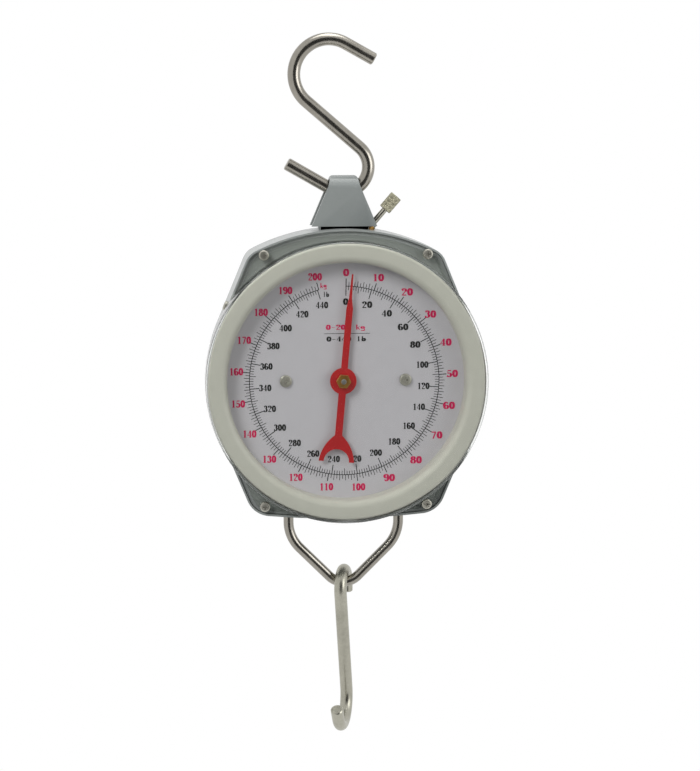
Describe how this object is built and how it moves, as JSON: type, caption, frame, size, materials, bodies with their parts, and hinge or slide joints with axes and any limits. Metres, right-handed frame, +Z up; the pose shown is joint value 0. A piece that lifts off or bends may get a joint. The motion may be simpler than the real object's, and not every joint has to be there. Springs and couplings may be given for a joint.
{
  "type": "hanging spring scale",
  "caption": "round dial hanging spring scale with a top hook, folded hanger bracket, clear drum cover, zero-adjusting screw, shackle and load hook",
  "frame": {"origin": "hanging point, inside the top of the top hook's upper bend", "axes": "+Z up, the dial faces -Y, +X is to the right of its reader"},
  "size_m": [0.2208, 0.062, 0.5566],
  "materials": {
    "hook_steel": "bright drawn steel rod",
    "grey_enamel": "grey stoved enamel, smooth",
    "clear_plastic": "clear moulded plastic",
    "cream_plastic": "cream moulded plastic, satin",
    "dial_enamel": "pale grey enamel with printed scales",
    "pointer_red": "red lacquer on thin sheet",
    "brass": "machined brass",
    "screw_nickel": "bright nickel plate",
    "shackle_steel": "bright drawn steel rod",
    "galvanised_steel": "zinc plated steel, dull",
    "machine_steel": "machined mild steel",
    "spring_steel": "oil tempered spring wire",
    "black_nylon": "black nylon"
  },
  "bodies": {
    "top_hook": {"top_hook": "hook_steel"},
    "case": {"hanger_bracket": "grey_enamel", "case_shell": "grey_enamel", "chassis_plate": "grey_enamel", "clear_cover": "clear_plastic", "trim_ring": "cream_plastic", "dial_plate": "dial_enamel", "front_bush": "brass", "rear_bush": "brass", "zero_bush": "brass", "cover_screws": "screw_nickel", "dial_screws": "screw_nickel", "side_screw_left": "screw_nickel", "side_screw_right": "screw_nickel", "upper_bar": "machine_steel", "hanger_studs": "machine_steel", "hanger_spacers": "machine_steel", "hanger_nuts": "machine_steel", "upper_spring_plugs": "machine_steel", "main_spring_left": "spring_steel", "main_spring_right": "spring_steel", "case_posts": "machine_steel", "movement_plate": "machine_steel", "movement_pillars": "machine_steel", "movement_screws": "machine_steel", "leg_bushes": "black_nylon", "rack_guide": "black_nylon", "zero_nut": "brass"},
    "carriage": {"carriage_bar": "machine_steel", "lower_spring_plugs": "machine_steel", "shackle_nuts": "machine_steel", "rack": "machine_steel", "rack_screws": "machine_steel", "shackle": "shackle_steel"},
    "load_hook": {"load_hook": "galvanised_steel"},
    "pointer": {"pointer": "pointer_red", "hub_nut": "brass", "pointer_washer": "brass", "pointer_shaft": "machine_steel", "pinion": "brass"},
    "zero_screw": {"zero_screw": "screw_nickel", "zero_knob": "screw_nickel"}
  },
  "joints": [
    {"name": "case_swing", "type": "hinge", "parent": "top_hook", "child": "case", "pos_m": [0.0113, 0, -0.11095], "axis": [1, 0, 0], "range_deg": [-25, 25]},
    {"name": "load_slide", "type": "slide", "parent": "case", "child": "carriage", "axis": [0, 0, -1], "range_m": [-0.0003, 0.0249], "stiffness_N_per_m": 77900, "deforming": ["main_spring_left", "main_spring_right"]},
    {"name": "pointer_turn", "type": "hinge", "parent": "case", "child": "pointer", "pos_m": [0.009, -0.021, -0.26], "axis": [0, 1, 0], "range_deg": [-5, 341]},
    {"name": "load_hook_swing", "type": "hinge", "parent": "carriage", "child": "load_hook", "pos_m": [0.0113, 0, -0.42957], "axis": [0.9613, -0.2756, 0], "range_deg": [-40, 40]},
    {"name": "zero_turn", "type": "hinge", "parent": "case", "child": "zero_screw", "pos_m": [0.0308, 0, -0.14271], "axis": [0.6561, 0, 0.7547], "range_deg": [-720, 360]}
  ],
  "couplings": [
    {"joint": "pointer_turn", "follows": "load_slide", "rad_per_m": 238.1}
  ]
}
